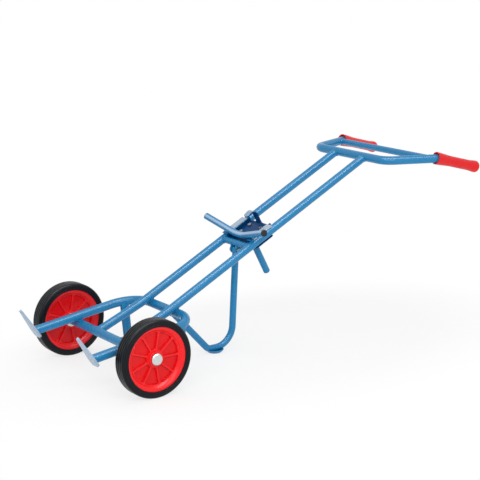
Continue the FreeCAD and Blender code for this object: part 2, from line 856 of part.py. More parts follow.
# Whole trolley, moved so that the origin is on the floor under the middle of its length
def trolley():
    shapes = {}
    for group in (wheel_parts, axle_parts, toe_parts, rail_parts, handle_parts, leg_parts, carriage_parts):
        shapes.update(group())
    front = shapes["toe_claw_left"].optimalBoundingBox().XMin
    back = shapes["grip_left"].optimalBoundingBox().XMax
    middle = (front + back) / 2
    return {name: shape.translated(Vector(-middle, 0, 0)) for name, shape in shapes.items()}, middle


parts, origin_setback = trolley()
os.makedirs("parts", exist_ok=True)
for part_name, part_shape in parts.items():
    part_shape.exportStep(f"parts/{part_name}.step")
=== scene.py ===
import json
import math

import bmesh
import bpy
from mathutils import Matrix, Vector


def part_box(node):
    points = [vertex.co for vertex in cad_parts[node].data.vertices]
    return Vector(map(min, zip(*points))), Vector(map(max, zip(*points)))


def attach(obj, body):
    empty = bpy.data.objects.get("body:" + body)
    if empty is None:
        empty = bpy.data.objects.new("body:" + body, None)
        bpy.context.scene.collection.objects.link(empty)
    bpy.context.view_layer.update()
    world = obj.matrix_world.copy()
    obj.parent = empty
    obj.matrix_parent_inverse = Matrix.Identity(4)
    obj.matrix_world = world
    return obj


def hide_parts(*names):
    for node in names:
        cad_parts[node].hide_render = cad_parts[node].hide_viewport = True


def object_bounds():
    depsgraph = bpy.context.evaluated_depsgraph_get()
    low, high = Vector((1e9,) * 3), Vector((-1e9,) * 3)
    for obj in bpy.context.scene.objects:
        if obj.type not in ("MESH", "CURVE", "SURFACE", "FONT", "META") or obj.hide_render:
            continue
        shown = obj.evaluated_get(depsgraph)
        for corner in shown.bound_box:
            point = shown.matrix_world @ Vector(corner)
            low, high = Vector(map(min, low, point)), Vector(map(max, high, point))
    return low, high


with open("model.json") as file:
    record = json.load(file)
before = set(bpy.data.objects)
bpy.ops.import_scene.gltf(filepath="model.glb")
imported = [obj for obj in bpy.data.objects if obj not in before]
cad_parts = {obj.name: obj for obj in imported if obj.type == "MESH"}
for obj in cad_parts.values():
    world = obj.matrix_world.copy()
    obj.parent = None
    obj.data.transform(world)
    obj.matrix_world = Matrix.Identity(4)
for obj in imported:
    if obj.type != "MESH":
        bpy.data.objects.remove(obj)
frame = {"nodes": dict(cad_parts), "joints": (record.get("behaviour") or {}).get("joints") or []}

cad_low, cad_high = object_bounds()

# Axle tube: the round steel tube between the wheels that carries the whole frame.
# It is cut from welded tube and stoved in blue enamel together with the frame.
mm = 0.001
enamel_blue = "#1F84B8"
enamel_deep = "#1879AD"
tube_index = 1.42
tube_edge = 0.3 * mm
mixed_colour = 2  # a Mix node's third output, the one that is a colour


def linear(colour):
    """An sRGB hex colour as the linear RGBA that a shader takes."""
    levels = [int(colour[place:place + 2], 16) / 255 for place in (1, 3, 5)]
    return [v / 12.92 if v <= 0.04045 else ((v + 0.055) / 1.055) ** 2.4 for v in levels] + [1.0]


def add(tree, kind, sockets=None, **settings):
    """Adds a node with its settings. A socket takes a value, or a link from another node's output."""
    made = tree.nodes.new(kind)
    for name, value in settings.items():
        setattr(made, name, value)
    for name, value in (sockets or {}).items():
        socket = next(s for s in made.inputs if name in (s.identifier, s.name))
        if isinstance(value, bpy.types.NodeSocket):
            tree.links.new(value, socket)
        else:
            socket.default_value = value
    return made


def new_material(name):
    """An empty material, its node tree, and the place on the object that its patterns read."""
    material = bpy.data.materials.new(name)
    material.use_nodes = True
    tree = material.node_tree
    tree.nodes.clear()
    return material, tree, add(tree, "ShaderNodeTexCoord").outputs["Object"]


def toned(tree, place, patch, detail, tones, light_mask=None, light_tone=None):
    """Two tones in soft patches of a given size, and a third tone painted where a light mask falls.
    Gives the pattern of the patches and the colour."""
    patches = add(tree, "ShaderNodeTexNoise", {"Vector": place, "Scale": 1 / patch, "Detail": detail})
    tint = add(tree, "ShaderNodeMix", {
        "Factor_Float": patches.outputs["Fac"], "A_Color": linear(tones[0]), "B_Color": linear(tones[1])},
        data_type="RGBA").outputs[mixed_colour]
    if light_mask:
        tint = add(tree, "ShaderNodeMix", {
            "Factor_Float": light_mask(tree, place), "A_Color": tint, "B_Color": linear(light_tone)},
            data_type="RGBA").outputs[mixed_colour]
    return patches.outputs["Fac"], tint


def grained(tree, place, grain, detail, strength, depth, edge_round):
    """The relief of a surface: a fine grain, and edges rounded to a radius."""
    texture = add(tree, "ShaderNodeTexNoise", {"Vector": place, "Scale": 1 / grain, "Detail": detail})
    edge = add(tree, "ShaderNodeBevel", {"Radius": edge_round}, samples=4)
    return add(tree, "ShaderNodeBump", {
        "Height": texture.outputs["Fac"], "Strength": strength, "Distance": depth,
        "Normal": edge.outputs["Normal"]}).outputs["Normal"]


def surfaced(tree, tint, relief, uneven, rough, own):
    """Ends a material in its shader. A pattern moves the roughness between two values,
    and the numbers that are the material's own are the same all over."""
    gloss = add(tree, "ShaderNodeMapRange", {"Value": uneven, "To Min": rough[0], "To Max": rough[1]})
    shader = add(tree, "ShaderNodeBsdfPrincipled", {
        "Base Color": tint, "Roughness": gloss.outputs["Result"], "Normal": relief, **own})
    add(tree, "ShaderNodeOutputMaterial", {"Surface": shader.outputs["BSDF"]})


def stoved_enamel(name, tones, index, edge_round, painted_light=None, light_tone=None):
    """Stoved enamel on steel: an even deep colour under a hard gloss skin with faint orange peel.
    The coat pulls back to a small round on every cut edge, and can carry painted light in a paler tone
    where a mask falls."""
    material, tree, place = new_material(name)
    tint = toned(tree, place, patch=70 * mm, detail=4.0, tones=tones, light_mask=painted_light, light_tone=light_tone)[1]
    smears = add(tree, "ShaderNodeTexNoise", {"Vector": place, "Scale": 1 / (14 * mm), "Detail": 3.0})
    # Real orange peel is about 1 mm wide. That is too fine to show, so it is drawn at 4 mm.
    relief = grained(tree, place, grain=4 * mm, detail=1.0, strength=0.035, depth=0.05 * mm,
                     edge_round=edge_round)
    surfaced(tree, tint, relief, smears.outputs["Fac"], rough=(0.24, 0.31), own={"IOR": index})
    return material


def dress(material, *names):
    """Gives CAD nodes their finish."""
    for name in names:
        mesh = frame["nodes"][name].data
        mesh.materials.clear()
        mesh.materials.append(material)


# To the eye: one even mid blue, with a long soft streak of light along each tube.
blue_enamel = stoved_enamel("stoved blue enamel on steel tube", (enamel_blue, enamel_deep),
                            tube_index, tube_edge)
dress(blue_enamel, "axle_tube")

# Axle bar, washers and hub caps: bright zinc-plated steel parts, turned and pressed.
# The bar runs through the tube, and a pressed cap holds each wheel on its end.
zinc_light = "#E2E6E4"
zinc_dull = "#C2C8CA"


def zinc_plate(name, tones):
    """Zinc plate: a pale blue-white metal with a soft mottle and a fine grain."""
    material, tree, place = new_material(name)
    mottle, tint = toned(tree, place, patch=6 * mm, detail=5.0, tones=tones)
    # The real grain is finer than 0.1 mm. That is too fine to show, so it is drawn at 0.8 mm.
    relief = grained(tree, place, grain=0.8 * mm, detail=2.0, strength=0.2, depth=0.03 * mm,
                     edge_round=0.5 * mm)
    surfaced(tree, tint, relief, mottle, rough=(0.25, 0.45), own={"Metallic": 0.85})
    return material


# To the eye: silver-white, with blurred reflections that break up into small patches.
bright_zinc = zinc_plate("bright zinc plate on steel", (zinc_light, zinc_dull))
dress(bright_zinc, "axle", "axle_washers", "hub_cap_left", "hub_cap_right")

# Wheel rims: red polypropylene moulded with nine ribs a side, and a nylon bush in each hub.
# The mould leaves rounded edges, a soft sheen and faint flow marks, and a ring that dishes in
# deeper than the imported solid's, so each rim is a copy of that solid with its faces set further in.
rim_red = "#E40B14"
rim_deep = "#D80911"
# Brighter red painted on the ribs and ring as a highlight.
rim_painted_highlight = "#F11E23"
nylon_white = "#DAD6C8"
nylon_cream = "#CFC9B6"
joints = {joint["name"]: joint for joint in frame["joints"]}
axle_x, wheel_left_y, axle_z = joints["wheel_left_spin"]["pos_m"]
wheels = {"left": wheel_left_y, "right": -wheel_left_y}
hub_radius = 25 * mm
seat_radius = 98 * mm
seat_half = 20 * mm
face_slack = 0.3 * mm
merge_gap = 0.01 * mm
crease = math.radians(32)
# Out from the wheel's middle plane: the plane, the pockets' floor, the ribs' face and the rim's edge.
solid_levels = (0.0, 7 * mm, 15 * mm, 21.5 * mm)
dished_levels = (0.0, 2 * mm, 9.5 * mm, 21.5 * mm)


def moulded_plastic(name, tones, rough, shine, grain, depth, edge_round, raised=None, bright=None):
    """Moulded plastic: coloured all through, a soft sheen, rounded edges and the mould's fine grain.
    What stands up can get a painted highlight in a brighter tone."""
    material, tree, place = new_material(name)
    flow, tint = toned(tree, place, patch=35 * mm, detail=3.0, tones=tones, light_mask=raised, light_tone=bright)
    # A real mould's grain is about 0.2 mm. That is too fine to show, so it is drawn at about 1 mm.
    relief = grained(tree, place, grain, detail=2.0, strength=0.3, depth=depth, edge_round=edge_round)
    surfaced(tree, tint, relief, flow, rough=(rough - 0.06, rough + 0.06),
             own={"IOR": 1.49, "Specular IOR Level": shine})
    return material


def above(tree, vector, direction, low, high):
    """Rises from 0 to 1 as a vector's reach along a direction goes from low to high."""
    reach = add(tree, "ShaderNodeVectorMath", {"Vector": vector, "Vector_001": direction},
                operation="DOT_PRODUCT")
    rise = add(tree, "ShaderNodeMapRange", {
        "Value": reach.outputs["Value"], "From Min": low, "From Max": high},
        interpolation_type="SMOOTHSTEP")
    return rise.outputs["Result"]


# The mask for the rims' painted highlight.
def on_ribs(tree, place):
    """The ribs and the ring stand out from the pockets, away from the wheel's middle plane.
    The change runs from a little over the pockets' floor to a little under the ribs' face."""
    floor_level, face_level = dished_levels[1] * 1.3, dished_levels[2] * 0.95
    either = add(tree, "ShaderNodeVectorMath", {"Vector": place}, operation="ABSOLUTE")
    out = add(tree, "ShaderNodeVectorMath", {
        "Vector": either.outputs["Vector"], "Vector_001": (0, abs(wheel_left_y), 0)}, operation="SUBTRACT")
    away = add(tree, "ShaderNodeVectorMath", {"Vector": out.outputs["Vector"]}, operation="ABSOLUTE")
    return above(tree, away.outputs["Vector"], (0, 1, 0), floor_level, face_level)


# To the eye: strong warm red, with a painted highlight on the ribs, and a broad dull shine.
red_rim = moulded_plastic("moulded red polypropylene", (rim_red, rim_deep), rough=0.30, shine=0.28,
                          grain=1.5 * mm, depth=0.02 * mm, edge_round=1.5 * mm,
                          raised=on_ribs, bright=rim_painted_highlight)
# To the eye: creamy white and waxy.
nylon = moulded_plastic("natural moulded nylon", (nylon_white, nylon_cream), rough=0.45, shine=0.5,
                        grain=1.2 * mm, depth=0.02 * mm, edge_round=0.5 * mm)
dress(nylon, "hub_bush_left", "hub_bush_right")


def piece_from(name, shell, material):
    """Turns a shell into a piece of its own, shaded smooth but for its sharp corners."""
    for face in shell.faces:
        face.smooth = True
    for edge in shell.edges:
        edge.smooth = edge.calc_face_angle(0.0) < crease
    mesh = bpy.data.meshes.new(name)
    shell.to_mesh(mesh)
    shell.free()
    # The normals that come with a CAD node's mesh belong to its old shape.
    if "custom_normal" in mesh.attributes:
        mesh.attributes.remove(mesh.attributes["custom_normal"])
    mesh.materials.clear()
    mesh.materials.append(material)
    made = bpy.data.objects.new(name, mesh)
    bpy.context.collection.objects.link(made)
    return made


def dished(out, radius):
    """How far from the wheel's middle a point of the rim stands once the ring is dished deeper.
    The hub's ends and the tyre's seat stay where they are."""
    on_hub_end = radius < hub_radius + face_slack and out > solid_levels[2] + face_slack
    on_tyre_seat = radius > seat_radius - face_slack and out < seat_half + face_slack
    if not (on_hub_end or on_tyre_seat):
        for low, high, new_low, new_high in zip(solid_levels, solid_levels[1:],
                                                dished_levels, dished_levels[1:]):
            if out <= high:
                return new_low + (out - low) / (high - low) * (new_high - new_low)
    return out


for side, wheel_y in wheels.items():
    shell = bmesh.new()
    shell.from_mesh(frame["nodes"]["rim_" + side].data)
    bmesh.ops.remove_doubles(shell, verts=shell.verts, dist=merge_gap)
    for corner in shell.verts:
        out = corner.co.y - wheel_y
        radius = math.hypot(corner.co.x - axle_x, corner.co.z - axle_z)
        corner.co.y = wheel_y + math.copysign(dished(abs(out), radius), out)
    rim = piece_from("dished_rim_" + side, shell, red_rim)
    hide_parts("rim_" + side)
    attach(rim, "wheel_" + side)

# Tyres: solid black rubber, moulded with grooves round the tread and stretched over the rims.
# Two low ridges run round each side wall, and the rubber has a faint waxy bloom.
tyre_black = "#080B0F"
tyre_grey = "#11171D"
wall_half = 24.7 * mm
ridge_radii = (108 * mm, 115 * mm)
ridge_bar = 1.6 * mm
ridge_height = 0.7 * mm
ridge_step = 12 * mm
bar_sides = 8
steps_per_ripple = 4.0
loop_steps = 48
loop_turns = [math.tau * k / loop_steps for k in range(loop_steps)]


def vulcanised_rubber(name, tones):
    """Vulcanised rubber: near black, half matt, with the mould's fine grain and soft edges."""
    material, tree, place = new_material(name)
    bloom, tint = toned(tree, place, patch=18 * mm, detail=5.0, tones=tones)
    # The real grain is about 0.2 mm. That is too fine to show, so it is drawn at 1.5 mm.
    relief = grained(tree, place, grain=1.5 * mm, detail=2.0, strength=0.3, depth=0.02 * mm,
                     edge_round=1.0 * mm)
    surfaced(tree, tint, relief, bloom, rough=(0.26, 0.40), own={"IOR": 1.27})
    return material


def tree_with(name, inputs):
    """An empty Geometry Nodes tree with a mesh in, a mesh out and named inputs."""
    tree = bpy.data.node_groups.new(name, "GeometryNodeTree")
    tree.interface.new_socket("Geometry", in_out="OUTPUT", socket_type="NodeSocketGeometry")
    tree.interface.new_socket("Geometry", in_out="INPUT", socket_type="NodeSocketGeometry")
    for label, kind in inputs.items():
        tree.interface.new_socket(label, in_out="INPUT", socket_type="NodeSocket" + kind)
    return tree, add(tree, "NodeGroupInput").outputs


def end_tree(tree, geometry, material):
    """Realizes instances, gives them their material and sends them out of the tree."""
    real = add(tree, "GeometryNodeRealizeInstances", {"Geometry": geometry})
    coated = add(tree, "GeometryNodeSetMaterial", {
        "Geometry": real.outputs["Geometry"], "Material": material})
    add(tree, "NodeGroupOutput", {"Geometry": coated.outputs["Geometry"]})


def grown(name, mesh, tree, values):
    """Runs a Geometry Nodes tree on a mesh and keeps the result as a plain mesh at the origin."""
    made = bpy.data.objects.new(name, mesh)
    bpy.context.collection.objects.link(made)
    modifier = made.modifiers.new(name, "NODES")
    modifier.node_group = tree
    for socket in tree.interface.items_tree:
        if socket.in_out == "INPUT" and socket.name in values:
            modifier[socket.identifier] = values[socket.name]
    result = bpy.data.meshes.new_from_object(made.evaluated_get(bpy.context.evaluated_depsgraph_get()))
    made.modifiers.clear()
    made.data = result
    return made


bar_tree, given = tree_with("round bar along a line", {
    "Bar radius": "Float", "Ripple pitch": "Float", "Ripple depth": "Float", "Finish": "Material"})
seam = add(bar_tree, "GeometryNodeMeshToCurve", {"Mesh": given["Geometry"]})
step = add(bar_tree, "ShaderNodeMath", {"Value": given["Ripple pitch"], "Value_001": steps_per_ripple},
           operation="DIVIDE")
even = add(bar_tree, "GeometryNodeResampleCurve", {
    "Curve": seam.outputs["Curve"], "Length": step.outputs["Value"]}, mode="LENGTH")
run = add(bar_tree, "GeometryNodeSplineParameter")
count = add(bar_tree, "ShaderNodeMath", {
    "Value": run.outputs["Length"], "Value_001": given["Ripple pitch"]}, operation="DIVIDE")
phase = add(bar_tree, "ShaderNodeMath", {
    "Value": count.outputs["Value"], "Value_001": math.tau}, operation="MULTIPLY")
wave = add(bar_tree, "ShaderNodeMath", {"Value": phase.outputs["Value"]}, operation="SINE")
swell = add(bar_tree, "ShaderNodeMath", {
    "Value": wave.outputs["Value"], "Value_001": given["Ripple depth"], "Value_002": 1.0},
    operation="MULTIPLY_ADD")
width = add(bar_tree, "ShaderNodeMath", {
    "Value": swell.outputs["Value"], "Value_001": given["Bar radius"]}, operation="MULTIPLY")
section = add(bar_tree, "GeometryNodeCurvePrimitiveCircle", {"Resolution": bar_sides, "Radius": 1.0})
bar = add(bar_tree, "GeometryNodeCurveToMesh", {
    "Curve": even.outputs["Curve"], "Profile Curve": section.outputs["Curve"],
    "Scale": width.outputs["Value"], "Fill Caps": True})
smooth = add(bar_tree, "GeometryNodeSetShadeSmooth", {"Geometry": bar.outputs["Mesh"]})
end_tree(bar_tree, smooth.outputs["Geometry"], given["Finish"])


def lay_bars(name, body, slot, finish, loops, runs=(), *, radius, pitch, depth=0.0):
    """Lays round bars along closed loops and open runs, as one piece that rides on a body.
    The pitch is that of their ripples, and the depth is the ripples' share of the radius."""
    points, edges = [], []
    for line, is_closed in [(loop, True) for loop in loops] + [(run, False) for run in runs]:
        start = len(points)
        points += line
        edges += [(start + k, start + k + 1) for k in range(len(line) - 1)]
        if is_closed:
            edges.append((len(points) - 1, start))
    path = bpy.data.meshes.new(name)
    path.from_pydata(points, edges, [])
    made = grown(name, path, bar_tree, {"Bar radius": radius, "Ripple pitch": pitch,
                                        "Ripple depth": depth, "Finish": finish})
    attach(made, body)


# To the eye: near black, with a blurred grey shine that is never quite even.
rubber = vulcanised_rubber("vulcanised black rubber", (tyre_black, tyre_grey))
dress(rubber, "tyre_left", "tyre_right")
for side, wheel_y in wheels.items():
    ridges = []
    for out in (-1, 1):
        ridge_y = wheel_y + out * (wall_half + ridge_height - ridge_bar)
        for radius in ridge_radii:
            ridges.append([Vector((axle_x + radius * math.cos(a), ridge_y, axle_z + radius * math.sin(a)))
                           for a in loop_turns])
    lay_bars("side_wall_ridges_" + side, "wheel_" + side, "tyre_rubber", rubber, ridges,
             radius=ridge_bar, pitch=ridge_step)

# Toe frame: one U of bent steel tube that lies on the axle tube, with its two struts below.
# It is welded on before stoving, and the struts' open lower ends have black moulded plugs.
plug_black = "#17181A"
plug_grey = "#242628"
# To the eye: soft charcoal black, dull and slightly grainy.
black_plug = moulded_plastic("moulded black polythene", (plug_black, plug_grey), rough=0.5, shine=0.3,
                             grain=0.9 * mm, depth=0.04 * mm, edge_round=0.6 * mm)
dress(blue_enamel, "toe_frame", "strut_left", "strut_right")
dress(black_plug, "strut_plug_left", "strut_plug_right")

# Claws: two pointed steel plates welded across the front ends of the toe frame.
# They carry a paler blue-grey than the tubes, a painted reflection of the white studio in their glossy
# faces.
# Pale blue-grey tones of painted reflection, also used for painted light on the strips and the hook.
claw_reflection_pale = "#AEC1D2"
claw_reflection_deep = "#97AEC6"
plate_index = 1.4
plate_edge = 1.2 * mm
# To the eye: pale blue-grey, with a light line along each cut edge.
pale_enamel = stoved_enamel("pale blue-grey enamel with painted reflection on plate", (claw_reflection_pale, claw_reflection_deep),
                            plate_index, plate_edge)
dress(pale_enamel, "toe_claw_left", "toe_claw_right")

# Rails: two straight steel tubes from the axle up to the handle, with a cross tube between them.
# All are welded up and stoved with the frame.
dress(blue_enamel, "rail_left", "rail_right", "rail_cross_tube")

# Push handle: one bent steel tube with a slim bar across, welded to the rails' upper ends.
# It is bent cold, then stoved with the frame.
dress(blue_enamel, "handle_loop", "handle_cross_bar")

# Grips: soft red vinyl sleeves, dipped and moulded, pushed over the handle's drooping ends.
# Their flared mouths cover the bends, and the vinyl has a wet sheen.
grip_red = "#EC171B"
grip_deep = "#DD1016"
# To the eye: bright red, smooth and a little glossier than the rims.
red_vinyl = moulded_plastic("soft moulded red vinyl", (grip_red, grip_deep), rough=0.36, shine=0.38,
                            grain=1.1 * mm, depth=0.012 * mm, edge_round=0.3 * mm)
dress(red_vinyl, "grip_left", "grip_right")

# Standing leg: one bent slim steel tube with a round pressed foot welded on.
# It is bolted to the rails and to the toe frame between pairs of lugs.
dress(blue_enamel, "leg_tube", "leg_lugs_low", "leg_lugs_top", "foot_dish")

# Slide carriage: a folded steel pan between the rails, with a strip over each rail and a plate below.
# Four bolts clamp it together round the rails, with the curled hook and the pull handle fixed to it.
# The pan's navy is painted shade, darker than the tubes' blue.
pan_painted_shade = "#06477E"
pan_painted_shade_deep = "#053C70"
# The saddle's pale is a painted highlight.
saddle_painted_highlight = "#A9C6E6"
# The pan and the hook lie in shade, so their coats shine less than the tubes'.
pan_index = 1.08
hook_index = 1.2
# Where the painted light falls: how far each face turns towards it, and how far it reaches.
saddle_lean = math.radians(25)
saddle_facing = (0.80, 1.0)
hook_facing = (0.2, 0.6)
hook_fade = (45 * mm, 30 * mm)
strip_fade = 4 * mm
rail_up = Vector(joints["carriage_slide"]["axis"]).normalized()
rail_normal = Vector((-rail_up.z, 0, rail_up.x))


def node_middle(name):
    """Middle of a CAD node's box."""
    low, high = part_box(name)
    return (low + high) / 2


def painted_reflection_on_strip(tree, place):
    """The strips get a painted reflection in pale grey-blue above the saddle, and keep their blue at the
    lower ends.
    """
    saddle_place = node_middle("saddle_tube").dot(rail_up)
    return above(tree, place, rail_up, saddle_place - strip_fade, saddle_place + strip_fade)


def painted_light_on_hook(tree, place):
    """The hook's upper face, high up and turned up, gets painted light in a pale grey-blue."""
    hook_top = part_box("chime_hook")[1].z
    facing_up = above(tree, add(tree, "ShaderNodeNewGeometry").outputs["Normal"], rail_normal, *hook_facing)
    high_up = above(tree, place, (0, 0, 1), hook_top - hook_fade[0], hook_top - hook_fade[1])
    both = add(tree, "ShaderNodeMath", {"Value": facing_up, "Value_001": high_up}, operation="MULTIPLY")
    return both.outputs["Value"]


def painted_highlight_on_saddle(tree, place):
    """The saddle gets a pale painted highlight along one face."""
    face = rail_normal * math.cos(saddle_lean) - rail_up * math.sin(saddle_lean)
    return above(tree, add(tree, "ShaderNodeNewGeometry").outputs["Normal"], face, *saddle_facing)


# To the eye: a darker navy than the tubes, which is painted shade for the folds, and duller.
pan_enamel = stoved_enamel("blue enamel with painted shade on folded plate", (pan_painted_shade, pan_painted_shade_deep),
                           pan_index, plate_edge)
# To the eye: the pan's navy of painted shade, with painted light in pale grey-blue on top.
hook_enamel = stoved_enamel("blue enamel with painted shade and light on bent plate", (pan_painted_shade, pan_painted_shade_deep),
                            hook_index, plate_edge, painted_light_on_hook, claw_reflection_deep)
# To the eye: pale grey-blue bars of painted reflection that turn to the tubes' blue at their lower ends.
strip_enamel = stoved_enamel("blue enamel with painted reflection on flat bar", (enamel_blue, enamel_deep),
                             plate_index, plate_edge, painted_reflection_on_strip, claw_reflection_pale)
# To the eye: the tubes' blue with one pale band of painted highlight along one side.
saddle_enamel = stoved_enamel("blue enamel with painted highlight on bent tube", (enamel_blue, enamel_deep),
                              tube_index, tube_edge, painted_highlight_on_saddle, saddle_painted_highlight)
dress(pan_enamel, "slide_pan", "under_plate")
dress(hook_enamel, "chime_hook")
dress(saddle_enamel, "saddle_tube")
dress(blue_enamel, "pull_handle")
dress(strip_enamel, "glide_strip_left", "glide_strip_right")
dress(black_plug, "saddle_plug_left", "saddle_plug_right")
dress(bright_zinc, "carriage_spacers")

# Bolts and nuts: zinc-plated hexagon bolts through the leg's lugs and through the carriage.
# The forged heads and nuts have chamfered corners, and the rolled thread shows past each nut.
# The bolts' grey is darker than the hub caps' zinc: partly a duller plate, partly painted shade.
bolt_light = "#939CA1"
bolt_dull = "#767F85"
head_chamfer = math.tan(math.radians(30))
hexagon_sector = math.tau / 6
# One thread serves both sizes of bolt.
thread_pitch = 1.25 * mm
thread_depth = 0.5 * mm
thread_length = 22 * mm
across_frame = Vector((0, 1, 0))
bolt_sets = {
    "carriage_bolts": {"body": "carriage", "axis": rail_normal,
                       "flats": 13.0 * mm, "head": 5.3 * mm, "shank": 8.0 * mm},
    "leg_bolts": {"body": "frame", "axis": -across_frame,
                  "flats": 17.0 * mm, "head": 6.4 * mm, "shank": 10.0 * mm},
}


def circle(radius, height):
    """Ring of points about z."""
    return [Vector((radius * math.cos(a), radius * math.sin(a), height)) for a in loop_turns]


def hexagon(flats, height, slope):
    """Hexagon of points about z, whose corners rise or fall with a chamfer's slope."""
    points = []
    for turn in loop_turns:
        off_flat = (turn + hexagon_sector / 2) % hexagon_sector - hexagon_sector / 2
        reach = flats / 2 / math.cos(off_flat)
        points.append(Vector((reach * math.cos(turn), reach * math.sin(turn),
                              height + (reach - flats / 2) * slope)))
    return points


def ring_stack(name, rings, is_open_through=False):
    """Mesh from rings of points, each as long as the others.
    It is capped at both ends, or its last ring joins its first and leaves it open through the middle."""
    shell = bmesh.new()
    rows = [[shell.verts.new(point) for point in ring] for ring in rings]
    nexts = rows[1:] + rows[:1] if is_open_through else rows[1:]
    for low, high in zip(rows, nexts):
        for k in range(len(low)):
            shell.faces.new([low[k - 1], low[k], high[k], high[k - 1]])
    if not is_open_through:
        shell.faces.new(rows[-1])
        shell.faces.new(rows[0][::-1])
    mesh = bpy.data.meshes.new(name)
    shell.to_mesh(mesh)
    shell.free()
    return mesh


def bolt_mesh(name, flats, head, shank, length):
    """Hexagon bolt along z: its head above zero, its shank below, threaded near the end.
    Rings stand for the thread's helix, which looks the same at this size."""
    root = shank / 2 - thread_depth
    thread_start = thread_depth - length
    thread_count = int(thread_length / thread_pitch)
    rings = [circle(root - thread_depth, -length)]
    for k in range(thread_count):
        foot = thread_start + k * thread_pitch
        rings += [circle(root, foot), circle(shank / 2, foot + thread_pitch / 2)]
    rings += [circle(shank / 2, thread_start + thread_count * thread_pitch), circle(shank / 2, 0),
              circle(flats / 2, 0), hexagon(flats, 0, 0), hexagon(flats, head, -head_chamfer),
              circle(flats / 2, head)]
    return ring_stack(name, rings)


def nut_mesh(name, flats, height, hole):
    """Hexagon nut along z, chamfered on both faces and open through the middle."""
    return ring_stack(name, [
        circle(hole / 2, 0), circle(flats / 2, 0), hexagon(flats, 0, head_chamfer),
        hexagon(flats, height, -head_chamfer), circle(flats / 2, height), circle(hole / 2, height)],
        is_open_through=True)


fastener_tree, given = tree_with("fasteners at their seats", {"Fastener": "Object", "Finish": "Material"})
facing = add(fastener_tree, "GeometryNodeInputNamedAttribute", {"Name": "facing"}, data_type="FLOAT_VECTOR")
stand = add(fastener_tree, "FunctionNodeAlignRotationToVector", {
    "Vector": facing.outputs["Attribute"]}, axis="Z")
pattern = add(fastener_tree, "GeometryNodeObjectInfo", {"Object": given["Fastener"]})
placed = add(fastener_tree, "GeometryNodeInstanceOnPoints", {
    "Points": given["Geometry"], "Instance": pattern.outputs["Geometry"],
    "Rotation": stand.outputs["Rotation"]})
end_tree(fastener_tree, placed.outputs["Instances"], given["Finish"])


def solids_of(name):
    """The corner points of each separate solid in a CAD node."""
    shell = bmesh.new()
    shell.from_mesh(frame["nodes"][name].data)
    bmesh.ops.remove_doubles(shell, verts=shell.verts, dist=merge_gap)
    solids, seen = [], set()
    for first in shell.verts:
        if first.index in seen:
            continue
        seen.add(first.index)
        front, points = [first], []
        while front:
            corner = front.pop()
            points.append(corner.co.copy())
            for other in (e.other_vert(corner) for e in corner.link_edges):
                if other.index not in seen:
                    seen.add(other.index)
                    front.append(other)
        solids.append(points)
    shell.free()
    return solids


def reach_of(points, axis):
    """Lowest and highest reach of points along an axis."""
    reach = [p.dot(axis) for p in points]
    return min(reach), max(reach)


def seat_of(points, axis, from_top):
    """Point on the middle line of a solid along an axis, a given way down from its top."""
    side = axis.orthogonal().normalized()
    seat = axis * (reach_of(points, axis)[1] - from_top)
    for across in (side, axis.cross(side)):
        low, high = reach_of(points, across)
        seat += across * (low + high) / 2
    return seat


def fasten(node, body, axis, pattern_mesh, seat_from_top):
    """Sets one fastener at each solid of a CAD node, and stands for that node."""
    name = "hexagon_" + node
    seats = [seat_of(points, axis, seat_from_top) for points in solids_of(node)]
    seats_mesh = bpy.data.meshes.new(name)
    seats_mesh.from_pydata(seats, [], [])
    for item in seats_mesh.attributes.new("facing", "FLOAT_VECTOR", "POINT").data:
        item.vector = axis
    pattern_object = bpy.data.objects.new(name + "_pattern", pattern_mesh)
    made = grown(name, seats_mesh, fastener_tree, {"Fastener": pattern_object, "Finish": dull_and_shaded_zinc})
    bpy.data.objects.remove(pattern_object)
    made.data.polygons.foreach_set("use_smooth", [False] * len(made.data.polygons))
    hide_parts(node)
    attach(made, body)


# To the eye: mid-grey metal with dull facets that catch the light one by one. Its grey, darker than the hub
# caps' zinc, is partly a duller plate and partly painted shade.
dull_and_shaded_zinc = zinc_plate("dulled zinc plate with painted shade on forged steel", (bolt_light, bolt_dull))
for bolts, spec in bolt_sets.items():
    low, high = reach_of(solids_of(bolts)[0], spec["axis"])
    bolt = bolt_mesh(bolts, spec["flats"], spec["head"], spec["shank"], high - spec["head"] - low)
    fasten(bolts, spec["body"], spec["axis"], bolt, spec["head"])
    nuts = bolts.replace("bolts", "nuts")
    low, high = reach_of(solids_of(nuts)[0], spec["axis"])
    nut = nut_mesh(nuts, spec["flats"], high - low, spec["shank"])
    fasten(nuts, spec["body"], spec["axis"], nut, high - low)

# Weld beads: the steel frame is welded where its tubes and plates meet, before it is stoved.
# Each bead is a rippled fillet along the joint, under the same blue enamel.
bead_radius = 2.4 * mm
crossing_spread = 8 * mm
ripples = {"pitch": 3.2 * mm, "depth": 0.13}
toe_slope = math.radians(8.25)
toe_reach = 163 * mm
claw_lean = math.radians(32.7)
rail_foot_slope = math.radians(22.7)
handle_splay = math.radians(21.6)
handle_half = 186 * mm


def half_size(name):
    """Half of a CAD node's box, on each axis."""
    low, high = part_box(name)
    return (high - low) / 2


def in_side_view(slope):
    """Unit vector up a slope in the trolley's side view."""
    return Vector((math.cos(slope), 0, math.sin(slope)))


def ring_about(root, out, radius):
    """Ring of points round a tube, square to it at one point of its line."""
    side = out.orthogonal().normalized()
    other = out.cross(side)
    return [root + (side * math.cos(a) + other * math.sin(a)) * radius for a in loop_turns]


